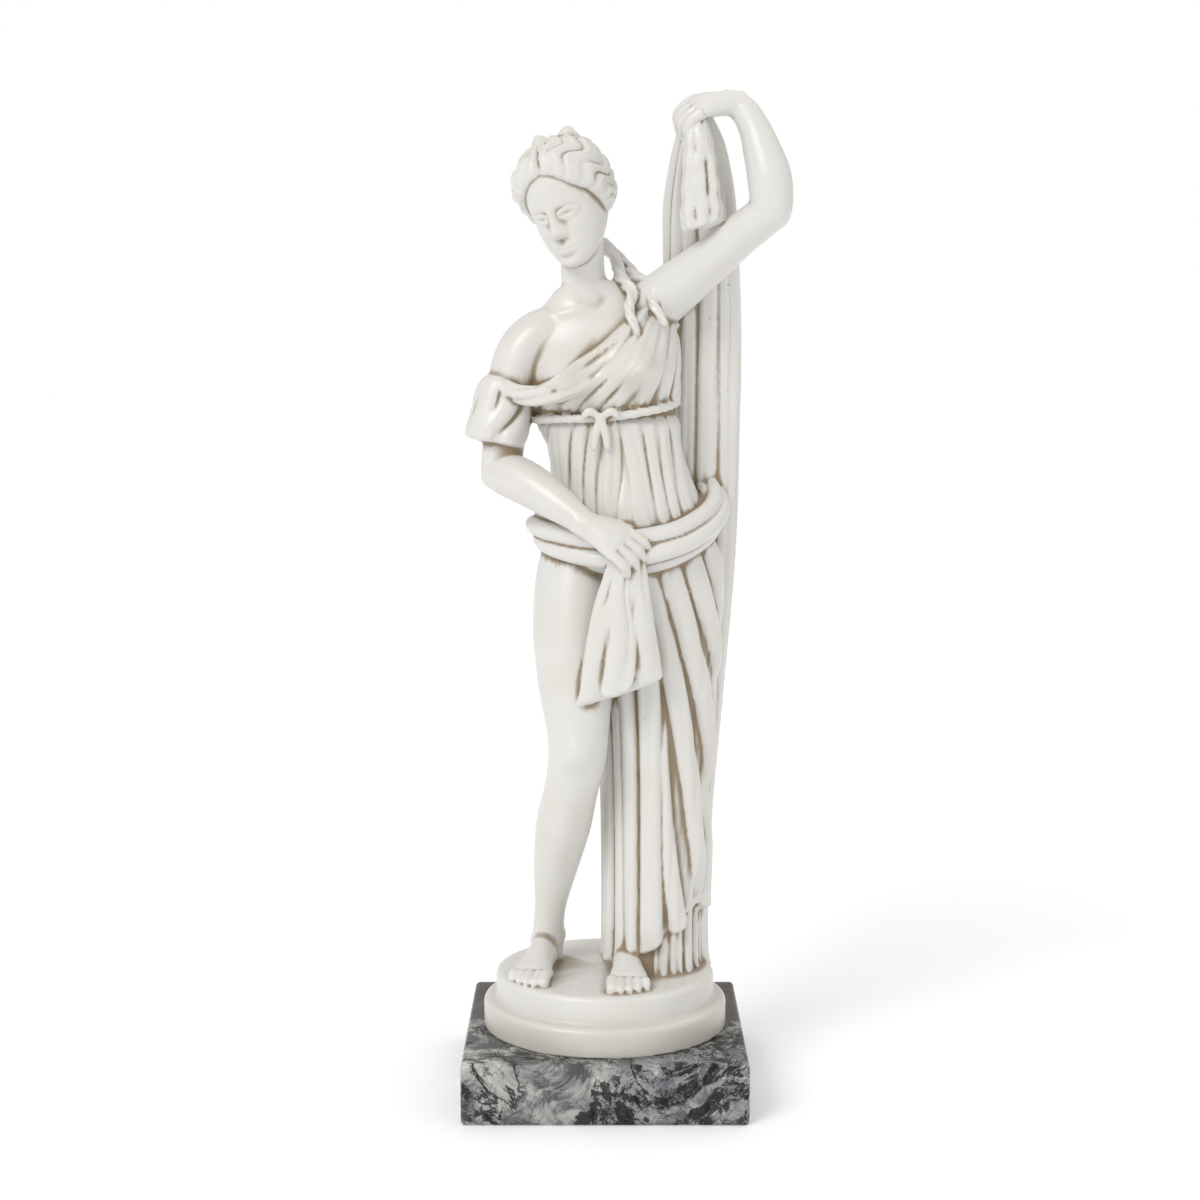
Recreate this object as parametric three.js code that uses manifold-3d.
// A classical marble figure of a standing, half draped woman, cast in one with a round
// plinth of two steps, and the square block of veined marble that the plinth stands on.
// Millimetres, +Z up, the figure faces -Y. The origin is the middle of the block's underside.
import * as THREE from "three";
import { ParametricGeometry } from "three/addons/geometries/ParametricGeometry.js";
import { mergeVertices } from "three/addons/utils/BufferGeometryUtils.js";
import Module from "manifold-3d";

const wasm = await Module();
wasm.setup();

// ---- driving dimensions ----

const BLOCK = { side: 96, height: 21, ease: 1.4 };
const PLINTH = {
  lowerRadius: 42.3,
  lowerHeight: 10,
  upperRadius: 38,
  upperHeight: 9.5,
  ease: 2,
  sides: 28,
};
const GROUND = BLOCK.height + PLINTH.lowerHeight + PLINTH.upperHeight; // where the feet stand
const SUNK = 2; // how far feet and hems run down into the plinth
const FRONT = new THREE.Vector3(0, -1, 0);

// ---- small mathematics ----

const { cos, sin, sqrt, abs, max, min, PI } = Math;
const clamp = (x) => min(max(x, 0), 1);
const ease = (x) => clamp(x) * clamp(x) * (3 - 2 * clamp(x));
const bell = (x) => Math.exp(-x * x);
const scatter = (n) => abs(sin(n * 12.9898 + 4.1) * 43758.5453) % 1; // 0 to 1, the same every run
const vec = (p) => new THREE.Vector3(p[0], p[1], p[2]);

// The row t of the way through a table of stations, on a smooth curve through them.
function between(rows, t) {
  const at = clamp(t) * (rows.length - 1);
  const i = min(Math.floor(at), rows.length - 2);
  const f = at - i;
  const [a, b, c, d] = [i - 1, i, i + 1, i + 2].map(
    (k) => rows[min(max(k, 0), rows.length - 1)],
  );
  return b.map(
    (value, k) =>
      value +
      0.5 * f * (c[k] - a[k] +
        f * (2 * a[k] - 5 * value + 4 * c[k] - d[k] +
          f * (3 * (value - c[k]) + d[k] - a[k]))),
  );
}

// ---- solids ----

// A three.js geometry as a manifold-3d solid with its faces pointing out.
function solidFrom(geometry) {
  geometry.deleteAttribute("normal");
  geometry.deleteAttribute("uv");
  const merged = mergeVertices(geometry, 1e-4);
  const index = merged.index.array;
  const kept = [];
  for (let i = 0; i < index.length; i += 3) {
    const [a, b, c] = [index[i], index[i + 1], index[i + 2]];
    if (a !== b && b !== c && c !== a) kept.push(a, b, c);
  }
  const build = (triangles) =>
    new wasm.Manifold(
      new wasm.Mesh({
        numProp: 3,
        vertProperties: merged.attributes.position.array,
        triVerts: Uint32Array.from(triangles),
      }),
    );
  const made = build(kept);
  return made.volume() > 0 ? made : build(kept.reverse());
}

// A closed skin. ring(angle, t, point) is its surface, and each end closes at its ring's middle.
// gather, from 0 to 0.9, draws the lines of the grid towards the front of the form, and
// crowd, from 0 to 1, draws its rings towards the two ends.
function skin(ring, around, along, { gather = 0, crowd = 0 } = {}) {
  const rows = along + 2;
  const middle = (t) => {
    const sum = new THREE.Vector3();
    const point = new THREE.Vector3();
    for (let k = 0; k < around; k++) {
      ring((2 * PI * k) / around, t, point);
      sum.addScaledVector(point, 1 / around);
    }
    return sum;
  };
  const ends = [middle(0), middle(1)];
  const surface = (u, v, point) => {
    const row = Math.round(v * rows);
    if (row === 0) return point.copy(ends[0]);
    if (row === rows) return point.copy(ends[1]);
    const angle = 2 * PI * (u % 1);
    const share = (row - 1) / along;
    const t = share - (crowd / (2 * PI)) * sin(2 * PI * share);
    return ring(angle + gather * cos(angle), t, point);
  };
  return solidFrom(new ParametricGeometry(surface, around, rows));
}

// The ring of a limb: stations are [x, y, z, half width, half depth, half depth behind].
// level keeps every ring horizontal, as on an upright form. round gives the shares of the
// length over which its two ends close like a dome, and carve(point, angle, t, outward)
// moves a point of the finished surface.
function limbRing(stations, { toward = FRONT, level = false, round = [0, 0], carve } = {}) {
  const dome = (x) => sqrt(max(1 - (1 - clamp(x)) ** 2, 0.0004));
  const tangent = new THREE.Vector3();
  const side = new THREE.Vector3();
  const depth = new THREE.Vector3();
  const outward = new THREE.Vector3();
  return (angle, t, point) => {
    const [x, y, z, wide, deep, behind = deep] = between(stations, t);
    if (level) tangent.set(0, 0, Math.sign(stations.at(-1)[2] - stations[0][2]));
    else
      tangent
        .copy(vec(between(stations, t + 0.01)))
        .sub(vec(between(stations, t - 0.01)))
        .normalize();
    side.crossVectors(tangent, toward).normalize();
    depth.crossVectors(side, tangent).normalize();
    const start = round[0] ? dome(t / round[0]) : 1;
    const end = round[1] ? dome((1 - t) / round[1]) : 1;
    outward
      .set(0, 0, 0)
      .addScaledVector(side, wide * cos(angle))
      .addScaledVector(depth, (sin(angle) > 0 ? deep : behind) * sin(angle))
      .multiplyScalar(start * end);
    point.set(x, y, z).add(outward);
    if (carve) carve(point, angle, t, outward.normalize());
    return point;
  };
}

const limb = (stations, around, along, options = {}) =>
  skin(limbRing(stations, options), around, along, { crowd: options.round ? 0.6 : 0 });

const join = (solids) => solids.reduce((all, one) => all.add(one));

// The outermost shell of a solid: pockets sealed between its layers are filled with stone.
const filled = (solid) =>
  solid.decompose().reduce((outer, shell) => (shell.volume() > outer.volume() ? shell : outer));

// A manifold-3d solid as a named three.js mesh.
function meshOf(solid, name, material) {
  const { vertProperties, triVerts } = solid.getMesh();
  const geometry = new THREE.BufferGeometry()
    .setAttribute("position", new THREE.BufferAttribute(vertProperties, 3))
    .setIndex(new THREE.BufferAttribute(triVerts, 1));
  const mesh = new THREE.Mesh(geometry, material);
  mesh.name = name;
  return mesh;
}

// ---- drapery ----

// Rounded folds round a form: the highest of several half round ridges, so that the valleys
// between them are sharp. Each ridge leans and swells a little differently.
function folds({ count, from = 0, to = 2 * PI, fill = 1.15, lean = 0.12, seed = 1 }) {
  const pitch = (to - from) / count;
  const ridges = Array.from({ length: count }, (_, k) => ({
    at: from + pitch * (k + 0.5 + 0.5 * (scatter(seed + k) - 0.5)),
    half: (pitch * fill * (0.8 + 0.5 * scatter(seed + k + 31))) / 2,
    tall: 0.65 + 0.35 * scatter(seed + k + 67),
    lean: lean * (scatter(seed + k + 101) - 0.5),
  }));
  return (angle, t) => {
    let high = 0;
    for (const r of ridges) {
      const turn = angle - r.at - r.lean * t;
      const off = (turn - 2 * PI * Math.round(turn / (2 * PI))) / r.half;
      if (abs(off) < 1) high = max(high, r.tall * sqrt(1 - off * off));
    }
    return high;
  };
}

// ---- the body ----

// Soft swellings of the trunk: [x, z, spread across, spread up, forward push].
const TRUNK_SWELLS = [
  [-14, 205.5, 7.8, 7.6, 11],
  [9.5, 208, 7.8, 7.6, 11],
  [6, 160, 13, 12, 2.6],
];
// [x, y, z, half width, half depth in front, half depth behind]
const TRUNK = [
  [7.5, 1, 122, 21, 12, 16],
  [8, 1, 136, 26.5, 16.5, 21],
  [8, 0.5, 149, 27, 17.5, 20.5],
  [7, 0, 161, 24.6, 16.6, 16.5],
  [5, -0.3, 173, 21, 15, 13.2],
  [2.6, -0.3, 184, 20.4, 14.4, 13.6],
  [0, 0.2, 196, 22.6, 14.6, 15.5],
  [-2.2, 0.8, 209, 25, 14, 16.5],
  [-3.8, 1.5, 219, 25.4, 12.5, 15.8],
  [-4.8, 2, 226, 22.6, 10.5, 13.4],
  [-5.6, 2.2, 231.5, 16.5, 9, 11.4],
  [-6.6, 2, 238, 9.6, 8.2, 9.2],
];
const SHOULDER_RISE = 0.15; // the left shoulder lifts with the raised arm

// cloth(point, angle) raises the surface outwards, where a layer of dress lies on it.
function trunkRing(cloth) {
  return limbRing(TRUNK, {
    level: true,
    carve: (point, angle, t, outward) => {
      const facing = ease(sin(angle) * 1.6);
      for (const [x, z, wide, tall, push] of TRUNK_SWELLS)
        point.y -= facing * push * bell((point.x - x) / wide) * bell((point.z - z) / tall);
      if (cloth) point.addScaledVector(outward, cloth(point, angle));
      point.z += SHOULDER_RISE * point.x * ease((point.z - 180) / 40);
    },
  });
}

// The thin dress: a raised layer with folds that fan from the left shoulder down to the cord
// under the breast, and hang below it. Off the dress the layer sinks into the trunk.
const DRESS = { thick: 1.4, fold: 1.4, rays: 17, sunk: 2, cord: 193 };
const NECK = { lowest: -15, height: 208.5, climb: 0.98, sag: 6, right: 0.5 };

// The height of the dress's neck edge: it climbs to the left shoulder, sagging on its way,
// and falls towards the slipped sleeve.
function neckline(x) {
  const off = x - NECK.lowest;
  if (off < 0) return NECK.height + NECK.right * off;
  return NECK.height + NECK.climb * off - NECK.sag * (1 - bell(off / 12));
}

function dressCloth(point, angle) {
  const edge = sin(angle) < -0.1 ? 221 : neckline(point.x);
  const onCloth = ease((edge - point.z) / 2.5 + 0.5);
  const fan = Math.atan2(point.z - 242, point.x - 24) * DRESS.rays * 0.5;
  const hang = point.x * 0.55 + 0.02 * point.z;
  const ray = point.z > DRESS.cord ? abs(sin(fan)) : abs(sin(hang));
  return -DRESS.sunk + onCloth * (DRESS.sunk + DRESS.thick + DRESS.fold * ray);
}

// The cord under the breast, tied in front with two loops and two ends.
const CORD = [
  [-22, 8, 191, 1.7, 1.5],
  [-23.4, -5, 191.5, 1.7, 1.5],
  [-16, -14.8, 192, 1.7, 1.5],
  [0, -17.8, 192.5, 1.7, 1.5],
  [16.5, -14.8, 195, 1.7, 1.5],
  [24.2, -3, 197, 1.7, 1.5],
  [22, 10, 198, 1.7, 1.5],
];
const BOW = { at: [-1.5, -19, 192.5], reach: 6, drop: 11 };

function cordAndBow() {
  const [x, y, z] = BOW.at;
  const strand = (side, reach, drop) =>
    limb(
      [
        [x, y, z, 1.2, 1.2],
        [x + side * reach * 0.6, y - 1, z + (drop ? -drop * 0.4 : 2.4), 1.5, 1.2],
        [x + side * reach, y - 0.4, z - drop, 1.3, 1],
      ],
      5, 4, { round: [0, 0.2] },
    );
  return [
    limb(CORD, 5, 12),
    ...[-1, 1].flatMap((side) => [strand(side, BOW.reach, 0), strand(side, BOW.reach * 0.4, BOW.drop)]),
  ];
}

// The sleeve that has slipped from the right shoulder and hangs round the upper arm.
const SLEEVE = [
  [-32, -1.2, 206.5, 8.4, 9.2],
  [-33.4, -2, 200.5, 9.4, 10.2],
  [-35, -2.6, 194, 9.8, 10.6],
  [-36.6, -3.2, 187.5, 10.4, 11],
  [-37.6, -3.6, 183, 10, 10.6],
];
// The edge of the dress from under the right breast out to the slipped sleeve.
const SLEEVE_EDGE = [
  [-4, -19, 203.5, 1.8, 1.8],
  [-12, -19.5, 202, 3, 2.8],
  [-20, -18.5, 200, 3.4, 3.2],
  [-28, -14, 200, 3.4, 3.2],
  [-34, -9.5, 203, 2.6, 2.6],
];

function trunk() {
  const sleeveFolds = folds({ count: 8, seed: 12, lean: 1 });
  const sleeve = limbRing(SLEEVE, {
    round: [0.2, 0],
    carve: (point, angle, t, outward) =>
      point.addScaledVector(outward, 2.1 * ease(3 * t) * (sleeveFolds(angle + 0.8 * t, t) - 0.55)),
  });
  return [
    skin(trunkRing(), 14, 10),
    skin(trunkRing(dressCloth), 22, 11, { gather: 0.45 }),
    skin(sleeve, 14, 4),
    limb(SLEEVE_EDGE, 6, 6, { round: [0.15, 0.15] }),
    ...cordAndBow(),
  ];
}

// ---- limbs ----

// [x, y, z, half width, half depth]
const ARM_RIGHT = [
  [-12, 2.5, 221.5, 8, 8.5],
  [-21, 1.5, 220, 8.8, 9.8],
  [-27.5, 0.2, 213.5, 9.3, 10],
  [-31, -1.2, 203.5, 8.7, 9.4],
  [-33.2, -2.4, 192, 7.6, 8.4],
  [-34.6, -3.6, 181, 7, 7.6],
  [-35.4, -4.4, 173, 6.9, 7.2],
  [-35.6, -4.8, 167.5, 6, 6.2],
];
const FOREARM_RIGHT = [
  [-36, -2.4, 172.5, 6.4, 6.6],
  [-31.6, -9, 172.6, 7.5, 7.6],
  [-24, -16, 169.3, 7.3, 7],
  [-15.5, -23, 164.2, 6, 5.4],
  [-9, -27.6, 159.8, 4.7, 4.1],
  [-5, -29.8, 157, 4.3, 3.8],
];
const ARM_LEFT = [
  [4, 3, 223, 8.5, 8.5],
  [15, 2.4, 229, 9.4, 9.6],
  [25, -1.5, 236.5, 8.8, 9],
  [35, -7.5, 244.5, 7.6, 8],
  [45, -13, 253, 6.9, 7.2],
  [51.5, -16.2, 258, 6.7, 7],
  [55, -17.8, 261, 6, 6.2],
];
const FOREARM_LEFT = [
  [53.6, -18, 254, 6.2, 6.2],
  [54.6, -18, 262, 7, 6.9],
  [54, -17, 271, 7.3, 7],
  [51.6, -15.4, 280, 6.3, 6],
  [49, -14, 287.5, 5.2, 4.8],
  [45.8, -12.6, 293, 4.7, 4.3],
  [42, -11.4, 295.6, 4.3, 3.9],
  [38.5, -11, 296, 4.2, 3.6],
];
const LEG_RIGHT = [
  [-5, 0, 152, 14, 15],
  [-8, -3, 138, 15.4, 16],
  [-9.8, -8, 120, 14.8, 15.4],
  [-9.8, -13.5, 102, 12.8, 13],
  [-9.2, -17.4, 88, 10.6, 11],
  [-9.4, -18.2, 78, 9.8, 10.2],
  [-11.6, -14.6, 66, 9.1, 9.4],
  [-14.4, -8.6, 52, 9.3, 9.8],
  [-17, -2.9, 37, 7.7, 7.9],
  [-19, 2.6, 22, 5.6, 6],
  [-20, 6.2, 10, 5.4, 6],
  [-20.2, 6.6, -2, 5.6, 6.2],
];

// A hand: a palm, four fingers that bend by the given angles at their three joints, and a thumb.
function hand({ wrist, along, back, bend, thumbSide }) {
  const a = vec(along).normalize();
  const b = vec(back).addScaledVector(a, -vec(back).dot(a)).normalize();
  const s = new THREE.Vector3().crossVectors(a, b).multiplyScalar(thumbSide);
  const place = (forward, sideways, up) =>
    vec(wrist)
      .addScaledVector(a, forward)
      .addScaledVector(s, sideways)
      .addScaledVector(b, up)
      .toArray();
  const palm = limb(
    [
      [...place(-3, 0, 0), 4.6, 4],
      [...place(4, 0.3, 0), 6, 4.2],
      [...place(10, 0.4, 0.2), 7.4, 4],
      [...place(15, 0, 0), 7.4, 3.4],
    ],
    8, 4, { toward: b, round: [0, 0.2] },
  );
  const finger = (start, lengths, bends, thick, swing) => {
    const point = vec(start);
    const rows = [[...start, thick, thick]];
    let turn = 0;
    lengths.forEach((length, k) => {
      turn += bends[k];
      point
        .addScaledVector(a, length * cos(turn) * cos(swing))
        .addScaledVector(s, length * sin(swing))
        .addScaledVector(b, -length * sin(turn));
      rows.push([...point.toArray(), thick * (1 - 0.09 * (k + 1)), thick * (1 - 0.09 * (k + 1))]);
    });
    return limb(rows, 5, 3, { toward: s, round: [0, 0.22] });
  };
  const fingers = [-1.5, -0.5, 0.5, 1.5].map((k) =>
    finger(
      place(12.5, 3.75 * k, 0.3),
      [8.2, 5.4, 4.2].map((length) => length * (1 - 0.05 * (k - 0.5) ** 2)),
      bend, 2.25, 0.05 * k,
    ),
  );
  const thumb = finger(place(3, 5.5, -1.5), [6.5, 6, 4.5], [0.5, 0.3, 0.2], 2.5, 0.45);
  return [palm, ...fingers, thumb];
}

// A foot that points along heading (turned from straight ahead), its heel at the given place.
function foot(heel, heading) {
  const place = (forward, sideways, up) => [
    heel[0] + forward * sin(heading) + sideways * cos(heading),
    heel[1] - forward * cos(heading) + sideways * sin(heading),
    up,
  ];
  const up = new THREE.Vector3(0, 0, 1);
  const sole = limb(
    [
      [...place(-3.5, 0, 3.2), 3.6, 4, 4],
      [...place(1, 0, 3.4), 5.2, 6.5, 5],
      [...place(9, 0, 3.4), 5, 7.4, 5],
      [...place(17, 0, 3), 5.4, 5.6, 5],
      [...place(23.5, 0, 2.4), 6.6, 3.8, 4],
      [...place(29, 0, 2), 6.6, 2.7, 4],
    ],
    10, 7, { toward: up, round: [0.12, 0.08] },
  );
  const toes = [-2, -1, 0, 1, 2].map((k) => {
    const reach = 33.5 + (heading < 0 ? 1 : -1) * k * 0.9 - 0.35 * k * k;
    const thick = (heading < 0 ? k : -k) === 2 ? 2.1 : 1.5;
    return limb(
      [
        [...place(25.5, 2.85 * k, 2.4), thick, thick],
        [...place(30, 2.9 * k, 2.7), thick, thick],
        [...place(reach + 2, 2.95 * k, 1.4), thick, thick],
      ],
      5, 2, { toward: up, round: [0, 0.35] },
    );
  });
  return [sole, ...toes];
}

function limbs() {
  return [
    limb(ARM_RIGHT, 9, 8, { round: [0, 0.12] }),
    limb(FOREARM_RIGHT, 9, 6, { round: [0.12, 0] }),
    limb(ARM_LEFT, 9, 7, { round: [0, 0.12] }),
    limb(FOREARM_LEFT, 9, 6, { round: [0.12, 0] }),
    limb(LEG_RIGHT, 11, 12),
    ...hand({
      wrist: [-6, -29.4, 157.5], along: [0.86, -0.24, -0.44], back: [-0.1, -0.8, 0.6],
      bend: [0.5, 0.9, 0.7], thumbSide: -1,
    }),
    ...hand({
      wrist: [42.5, -11.6, 295.6], along: [-0.97, -0.12, -0.1], back: [-0.1, -0.5, 0.87],
      bend: [0.9, 1.1, 0.8], thumbSide: 1,
    }),
    ...foot([-20, 10], -0.2),
    ...foot([7.5, 2], 0.02),
  ];
}

// ---- head ----

const HEAD = { at: [-12.5, -5, 264], yaw: -0.5, nod: 0.24, lean: -0.27 };
// [x, y, z, half width, half depth in front, half depth behind]
const SKULL = [
  [0, -8.4, -19.4, 3, 3.2, 4],
  [0, -6.4, -17.4, 6.2, 6.8, 8],
  [0, -3.6, -13.2, 9.2, 9.8, 10],
  [0, -1, -8, 11.4, 12.2, 12],
  [0, 0, -3, 12.5, 13.2, 15],
  [0, 0, 3, 12.8, 13.8, 17],
  [0, 0, 8, 12.6, 13.4, 17],
  [0, 0.5, 12, 11.6, 12, 15.2],
  [0, 1, 15.7, 8.8, 9, 11.2],
  [0, 1.5, 18, 3, 3.2, 3.8],
];
// A face in thirds: hairline to brow, brow to the nose's base, nose's base to chin. Its forms
// are [x, z, spread across, spread up, forward push], and those off the middle are paired.
const FACE = [
  [0, -6.6, 2.3, 2.2, 3.4],
  [0, -1.8, 2, 4.4, 2.2],
  [5, -0.4, 2.9, 2.1, -2.2],
  [5, -1.2, 2.3, 1.4, 1.3],
  [0, -11.9, 3.4, 1.5, 1.4],
  [0, -14.4, 3.4, 1.2, -0.5],
  [0, -17.4, 3.6, 2.2, 1],
];
const HAIR = { thick: 2, wave: 1.3, band: 7, nape: -7.5, lock: 2.4 };
// The loose locks that fall from behind the ear to the left shoulder.
const LOCKS = [
  [[-1, 10, 252], [4, 7, 245], [5, 1, 239.5], [9, -5, 234.5], [8, -10.5, 228], [11, -14.5, 220]],
  [[0, 12, 250], [7, 9, 243.5], [10, 3.5, 239.5], [15.5, -2, 236.5], [16, -8.5, 230.5], [20.5, -12, 223]],
];

// The height of the hair's lower edge: low in front over the forehead, down behind the ears.
function hairEdge(x, facing) {
  const front = 12.5 - 0.07 * x * x;
  return front + (HAIR.nape - front) * ease(0.75 - facing * 1.5);
}

function headMatrix() {
  return new THREE.Matrix4()
    .makeTranslation(...HEAD.at)
    .multiply(new THREE.Matrix4().makeRotationY(HEAD.lean))
    .multiply(new THREE.Matrix4().makeRotationZ(HEAD.yaw))
    .multiply(new THREE.Matrix4().makeRotationX(HEAD.nod));
}

function headRing() {
  const place = headMatrix();
  return limbRing(SKULL, {
    level: true,
    carve: (point, angle) => {
      const facing = ease(sin(angle) * 1.8);
      const { x, z } = point;
      for (const [fx, fz, wide, tall, push] of FACE)
        point.y -= facing * push * bell((abs(x) - fx) / wide) * bell((z - fz) / tall);
      point.applyMatrix4(place);
    },
  });
}

// Hair brushed back in waves from a parting: a thick layer over the skull above its edge.
function hairRing() {
  const place = headMatrix();
  return limbRing(SKULL, {
    level: true,
    carve: (point, angle, t, outward) => {
      const above = point.z - hairEdge(point.x, sin(angle));
      const onHair = ease(above / 3 + 0.3);
      const wave = sin((PI * above) / HAIR.band + 0.4 * sin(angle * 6)) ** 2;
      const out = -1.5 + onHair * (1.5 + HAIR.thick + HAIR.wave * wave);
      const rising = ease((point.z - 3) / 14);
      point.addScaledVector(outward, out * sqrt(1 - rising * rising));
      point.z += out * rising;
      point.applyMatrix4(place);
    },
  });
}

// A loose lock of hair, thinner towards its end.
function lock(points, thick) {
  const stations = points.map((p, k) => [...p, thick * (1 - 0.1 * k), thick * (1 - 0.1 * k)]);
  return limb(stations, 5, 9, { round: [0, 0.15] });
}

function head() {
  const place = headMatrix();
  const inHead = (p) => vec(p).applyMatrix4(place).toArray();
  const neck = limb(
    [
      [-5, 3, 222, 12, 9.4],
      [-5.8, 2, 231, 9, 8.6],
      [-7.4, 0.6, 240, 7.4, 7.8],
      [...inHead([0, 0.5, -11]), 7.4, 8],
      [...inHead([0, 2, 0]), 7.6, 8],
    ],
    11, 6,
  );
  const bun = limb(
    [
      [...inHead([0, 13, 2]), 5.4, 5],
      [...inHead([0, 18.5, 2.5]), 8.2, 7.4],
      [...inHead([0, 25, 3]), 7, 6.4],
    ],
    10, 5, { toward: new THREE.Vector3(0, 0, 1), round: [0.1, 0.45] },
  );
  const locks = LOCKS.map((path) => lock(path, HAIR.lock));
  const loops = [-1, 1].map((side) =>
    limb(
      [
        [...inHead([0, 6, 14]), 1.9, 1.9],
        [...inHead([side * 2.6, 6.5, 18.5]), 2.4, 2.4],
        [...inHead([side * 6, 7, 21]), 2.2, 2.2],
        [...inHead([side * 7, 8.5, 17]), 1.9, 1.9],
        [...inHead([side * 4, 10, 13]), 1.6, 1.6],
      ],
      5, 6,
    ),
  );
  return [
    skin(headRing(), 18, 14, { gather: 0.5 }),
    skin(hairRing(), 18, 9),
    neck,
    bun,
    ...loops,
    ...locks,
  ];
}

// ---- mantle ----

// The mantle round the hips and the left leg: wide at the hips, narrow at the ground.
const SKIRT = [
  [7.5, 1, 157, 26.5, 18, 18],
  [9.5, 1, 147, 28.5, 20, 22.5],
  [13.5, 1.5, 132, 25.5, 20, 24.5],
  [16.8, 2, 116, 21.4, 19.5, 23.5],
  [18.2, 3, 97, 19.2, 19, 22],
  [18.6, 4, 72, 18, 18.6, 21],
  [18.4, 4.5, 42, 17.2, 18.2, 20.5],
  [18, 4.5, 16, 16.8, 18.2, 20.5],
  [18, 4.5, -SUNK, 17.2, 18.8, 21],
];
// The mantle's large folds in front: angle above and below, share of the height where a fold
// begins and ends, half width above and below, height, and how far it bows on its way.
const SKIRT_FOLDS = [
  [0.05, 0.1, 0.05, 1.1, 0.22, 0.2, 3, 0.05],
  [0.42, 0.46, 0.1, 1.1, 0.16, 0.18, 3.4, -0.04],
  [0.72, 0.8, 0.06, 1.1, 0.14, 0.17, 2.8, 0.03],
  [1.02, 1.12, 0.12, 1.1, 0.15, 0.17, 3.2, -0.05],
  [1.34, 1.46, 0.04, 1.1, 0.18, 0.24, 3.9, 0.03],
  [1.66, 2.75, 0.1, 1.1, 0.16, 0.24, 3.2, -0.12],
  [1.96, 3.05, 0.06, 0.9, 0.16, 0.26, 3.4, -0.12],
  [2.28, 3.35, 0.04, 0.7, 0.16, 0.26, 3.2, -0.1],
  [2.64, 3.6, 0.02, 0.5, 0.17, 0.24, 3, -0.06],
  [1.56, 2.35, 0.52, 1.1, 0.14, 0.24, 2.8, -0.04],
  [3.02, 3.45, 0.06, 0.7, 0.18, 0.24, 2.8, 0],
  [3.45, 3.4, 0.1, 1.1, 0.2, 0.24, 3, 0],
];
const SKIRT_SWEEP = 1.8; // above 1, a fold hangs straight first and sweeps to the side lower down
// How far the mantle's front stands off, and its folds behind: shallow at the hips, deep below.
const SKIRT_LAYER = { front: 1.3, sunk: 2.2 };
const SKIRT_BEHIND = { count: 11, shallow: 1.6, deepening: 3.6 };
// The mantle pulled round the back of the hips.
const SEAT = [
  [2.5, 9, 153, 21.5, 8, 12],
  [2.5, 9, 140, 22.5, 8, 15.5],
  [4.5, 10, 122, 20, 8, 14.5],
  [8.5, 11, 103, 15.5, 8, 12],
  [12.5, 12, 84, 11.5, 7, 9.5],
  [15, 12, 66, 8, 6, 8],
];
// The mantle where it hangs from the raised hand, behind the shoulder, down to the plinth.
const TRAIN = [
  [31, -7.5, 290, 5, 3.2],
  [31.5, -5, 282, 9, 4],
  [32, 0, 266, 12, 4.6],
  [33, 7.5, 246, 12.6, 5.2],
  [33.5, 12.5, 220, 13.2, 6],
  [33, 14, 188, 13.4, 7],
  [32, 14.5, 146, 13.4, 7.6],
  [29, 14.5, 97, 12.6, 8.2],
  [26, 14.5, 50, 11.6, 8.8],
  [23, 14, -SUNK, 10.8, 9],
];
const TRAIN_FOLD = { out: 3.4, count: 9 };
const SEAT_FOLD = { out: 2.2, count: 9, lean: 2.5 };
// The twisted roll of cloth round the hips: x, y, z and a factor on its thickness.
const ROLL = [
  [20, 19, 166, 0.6],
  [8, 23, 161, 0.8],
  [-6, 22, 158, 0.9],
  [-16.5, 14, 156.5, 0.95],
  [-20, 1.5, 155, 1],
  [-15, -12.5, 152.5, 1.05],
  [-4, -19.5, 149.5, 1.1],
  [8, -21.5, 148.5, 1.15],
  [22, -19, 151, 1.1],
  [33, -9, 156.5, 1.05],
  [37, 3, 163, 0.9],
  [33.5, 13, 171, 0.7],
];
const ROLL_SHAPE = { radius: 5.6, strands: 4, turns: 0.5, depth: 1.6 };
// The bunch of cloth that falls from the right hand, and the one in front of the raised hand.
const FALL = [
  [7.5, -26.5, 152, 4.5, 3.6],
  [6.5, -28, 139, 7.4, 4.4],
  [5.5, -27.5, 123, 10.8, 4.6],
  [5, -26.5, 104, 13.2, 4.2],
];
const CASCADE = [
  [30, -14.5, 291, 3.2, 3],
  [30.6, -16.5, 282, 4.4, 3.4],
  [31.4, -16.5, 271, 5.2, 3.6],
  [32, -15.5, 258, 6, 3.4],
];
// A bunch's folds: how many, how far they stand out, and how its hem slants and scallops.
const BUNCH = { count: 6, out: 3.6, slant: 0.36, scallop: 4.2 };

// A hanging form with folds: they are shallow where it is gathered and deepen downwards.
function hangingFolds(stations, spec, depthAt) {
  const rise = folds(spec);
  return limbRing(stations, {
    level: true,
    carve: (point, angle, t, outward) =>
      point.addScaledVector(outward, depthAt(t) * (rise(angle, t) - 0.6)),
  });
}

// The height of the skirt's folds in front: the highest of the table's half round ridges.
function drawnFolds(angle, t) {
  let high = 0;
  for (const [above, below, begin, end, wide, wideBelow, tall, bow] of SKIRT_FOLDS) {
    const share = clamp((t - begin) / (end - begin));
    const middle = above + (below - above) * share ** SKIRT_SWEEP + bow * sin(PI * share);
    const turn = angle - middle;
    const half = wide + (wideBelow - wide) * share;
    const off = (turn - 2 * PI * Math.round(turn / (2 * PI))) / half;
    const grown = ease((t - begin) / 0.12 + 0.2);
    if (abs(off) < 1) high = max(high, tall * grown * sqrt(1 - off * off));
  }
  return high;
}

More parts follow.
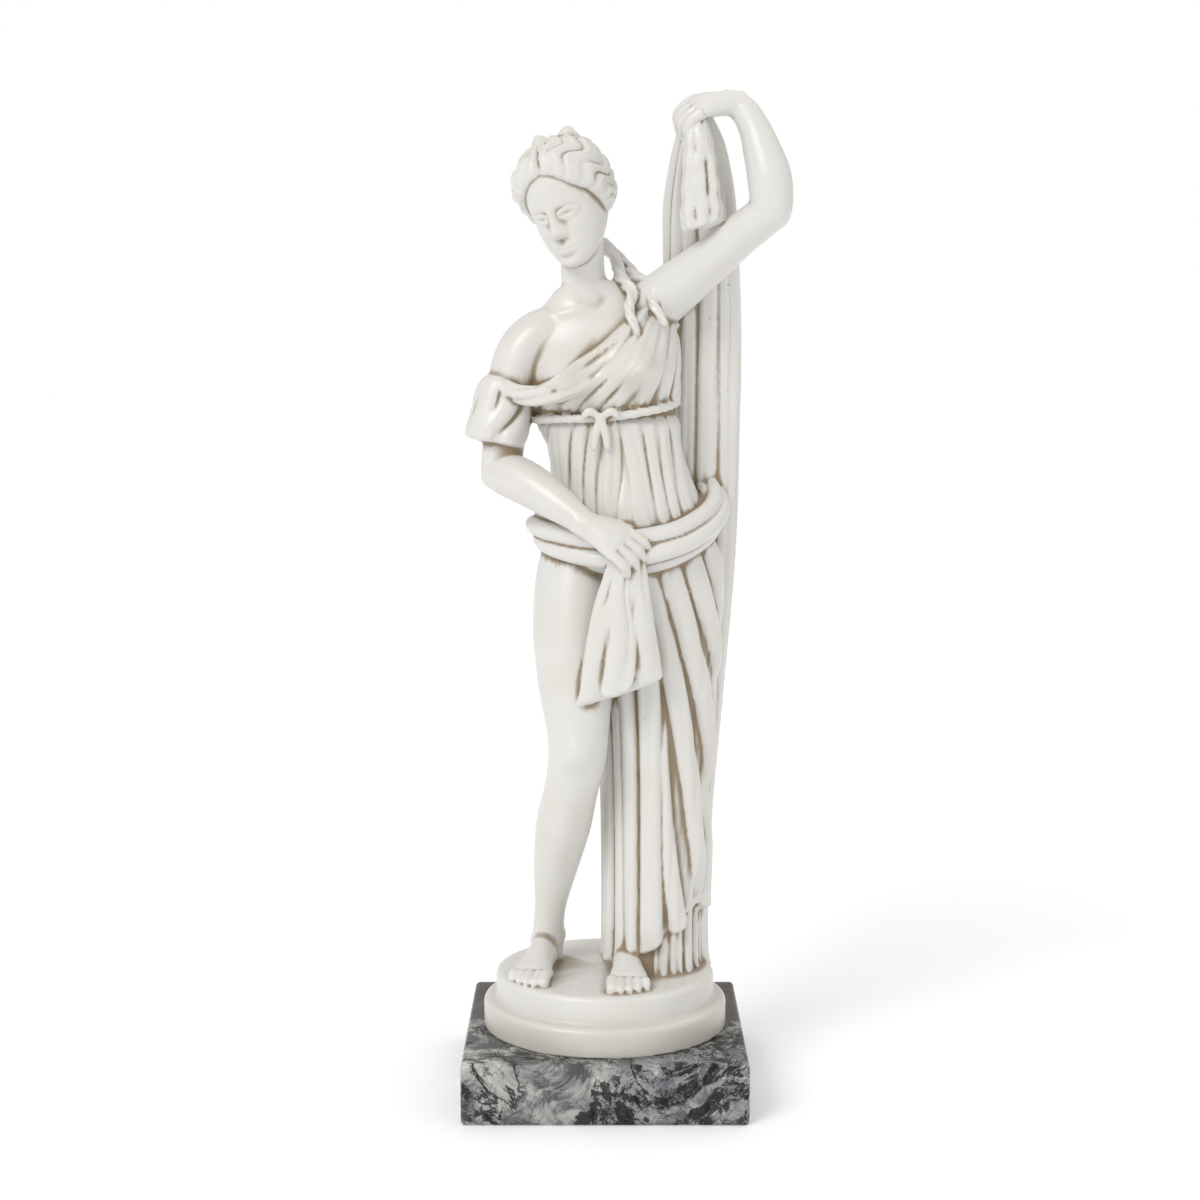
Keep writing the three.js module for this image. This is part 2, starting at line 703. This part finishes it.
function skirt() {
  const behind = folds({ count: SKIRT_BEHIND.count, seed: 5, lean: 0.6 });
  return limbRing(SKIRT, {
    level: true,
    carve: (point, angle, t, outward) => {
      const facing = ease(sin(angle) * 2.5 + 0.6);
      const front = drawnFolds(angle, t) + SKIRT_LAYER.front;
      const deep = SKIRT_BEHIND.shallow + SKIRT_BEHIND.deepening * ease(t * 1.5);
      const back = deep * behind(angle, t);
      point.addScaledVector(outward, facing * front + (1 - facing) * back - SKIRT_LAYER.sunk);
    },
  });
}

function roll() {
  const { radius, strands, turns, depth } = ROLL_SHAPE;
  const stations = ROLL.map(([x, y, z, size]) => [x, y, z, radius * size, radius * size]);
  return limbRing(stations, {
    toward: new THREE.Vector3(0, 0, 1),
    round: [0.08, 0.08],
    carve: (point, angle, t, outward) => {
      const strand = abs(cos(strands * 0.5 * (angle + 2 * PI * turns * t)));
      point.addScaledVector(outward, depth * (strand - 0.5));
    },
  });
}

function mantle() {
  const train = hangingFolds(
    TRAIN,
    { count: TRAIN_FOLD.count, seed: 40 },
    (t) => TRAIN_FOLD.out * (0.45 + 0.55 * ease(t * 4)),
  );
  const seat = hangingFolds(
    SEAT,
    { count: SEAT_FOLD.count, seed: 33, lean: SEAT_FOLD.lean },
    () => SEAT_FOLD.out,
  );
  return [
    skin(skirt(), 50, 9),
    skin(train, 24, 8),
    skin(seat, 16, 5),
    skin(roll(), 8, 18),
    skin(bunch(FALL, 77), 16, 5),
    skin(bunch(CASCADE, 52), 12, 3),
  ];
}

// A bunch of cloth that hangs free and opens out below into folds with a slanting hem.
function bunch(stations, seed) {
  const rise = folds({ count: BUNCH.count, seed });
  return limbRing(stations, {
    level: true,
    round: [0.1, 0],
    carve: (point, angle, t, outward) => {
      const crest = rise(angle, t);
      const off = point.x - stations.at(-1)[0];
      point.addScaledVector(outward, BUNCH.out * t * (crest - 0.5));
      point.z += t ** 3 * (BUNCH.slant * off - BUNCH.scallop * crest);
    },
  });
}

// ---- plinth and block ----

function plinth() {
  const e = PLINTH.ease;
  const z0 = BLOCK.height;
  const z1 = z0 + PLINTH.lowerHeight;
  const corner = (r, z) => [
    [r, z - e],
    [r - 0.3 * e, z - 0.3 * e],
    [r - e, z],
  ];
  const profile = [
    [0, z0],
    [PLINTH.lowerRadius, z0],
    ...corner(PLINTH.lowerRadius, z1),
    [PLINTH.upperRadius, z1],
    ...corner(PLINTH.upperRadius, GROUND),
    [0, GROUND],
  ].map(([r, z]) => new THREE.Vector2(r, z));
  const lathe = new THREE.LatheGeometry(profile, PLINTH.sides);
  lathe.rotateX(PI / 2);
  return solidFrom(lathe);
}

function block() {
  const { side, height, ease: e } = BLOCK;
  const half = side / 2 - e;
  const outline = new THREE.Shape();
  outline.moveTo(-half, -half);
  outline.lineTo(half, -half);
  outline.lineTo(half, half);
  outline.lineTo(-half, half);
  outline.closePath();
  const geometry = new THREE.ExtrudeGeometry(outline, {
    depth: height - 2 * e,
    bevelThickness: e,
    bevelSize: e,
    bevelSegments: 2,
  });
  geometry.translate(0, 0, e);
  return solidFrom(geometry);
}

// ---- the object ----

const CREAM_MARBLE = new THREE.MeshStandardMaterial({
  name: "cream_marble",
  color: 0xe6e1d6,
  roughness: 0.42,
  metalness: 0,
});
const GREY_MARBLE = new THREE.MeshStandardMaterial({
  name: "grey_marble",
  color: 0x8c8d8f,
  roughness: 0.25,
  metalness: 0,
});

const woman = join([...trunk(), ...limbs(), ...head(), ...mantle()]);
const figure = filled(woman.translate([0, 0, GROUND]).add(plinth()));

const statue = new THREE.Group();
statue.add(meshOf(figure, "figure", CREAM_MARBLE));
statue.add(meshOf(block(), "block", GREY_MARBLE));

export default statue;
